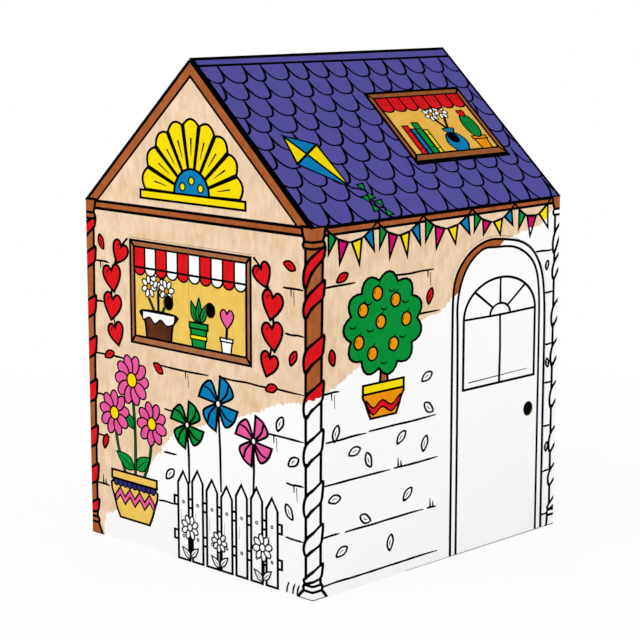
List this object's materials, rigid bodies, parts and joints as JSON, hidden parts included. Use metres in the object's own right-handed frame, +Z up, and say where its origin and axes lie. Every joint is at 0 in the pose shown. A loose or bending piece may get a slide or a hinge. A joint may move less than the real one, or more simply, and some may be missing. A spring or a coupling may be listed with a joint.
{
  "type": "cardboard playhouse",
  "caption": "Child-size house with a gabled roof, folded from corrugated board, with an arched swing door, window shutters and a skylight flap that open at creases.",
  "frame": {"origin": "on the floor, at the middle of the base", "axes": "+Z up, the front gable with the window faces -Y, the wall with the door faces +X, the ridge runs along Y"},
  "size_m": [0.806, 0.894, 1.226],
  "materials": {
    "printed_board": "matte white-lined corrugated board, printed in black line and partly coloured in"
  },
  "bodies": {
    "house": {"house_sheet": "printed_board"},
    "door": {"door": "printed_board"},
    "left_shutter": {"left_shutter": "printed_board"},
    "right_shutter": {"right_shutter": "printed_board"},
    "skylight_flap": {"skylight_flap": "printed_board"}
  },
  "joints": [
    {"name": "door_crease", "type": "hinge", "parent": "house", "child": "door", "pos_m": [0.403, 0.028, 0.3], "axis": [0, 0, -1], "range_deg": [0, 165]},
    {"name": "left_shutter_crease", "type": "hinge", "parent": "house", "child": "left_shutter", "pos_m": [-0.2325, -0.447, 0.6515], "axis": [0, 0, -1], "range_deg": [0, 165]},
    {"name": "right_shutter_crease", "type": "hinge", "parent": "house", "child": "right_shutter", "pos_m": [0.2045, -0.447, 0.6515], "axis": [0, 0, 1], "range_deg": [0, 165]},
    {"name": "skylight_crease", "type": "hinge", "parent": "house", "child": "skylight_flap", "pos_m": [0.10983, 0.203, 1.1268], "axis": [0, -1, 0], "range_deg": [0, 120]}
  ]
}
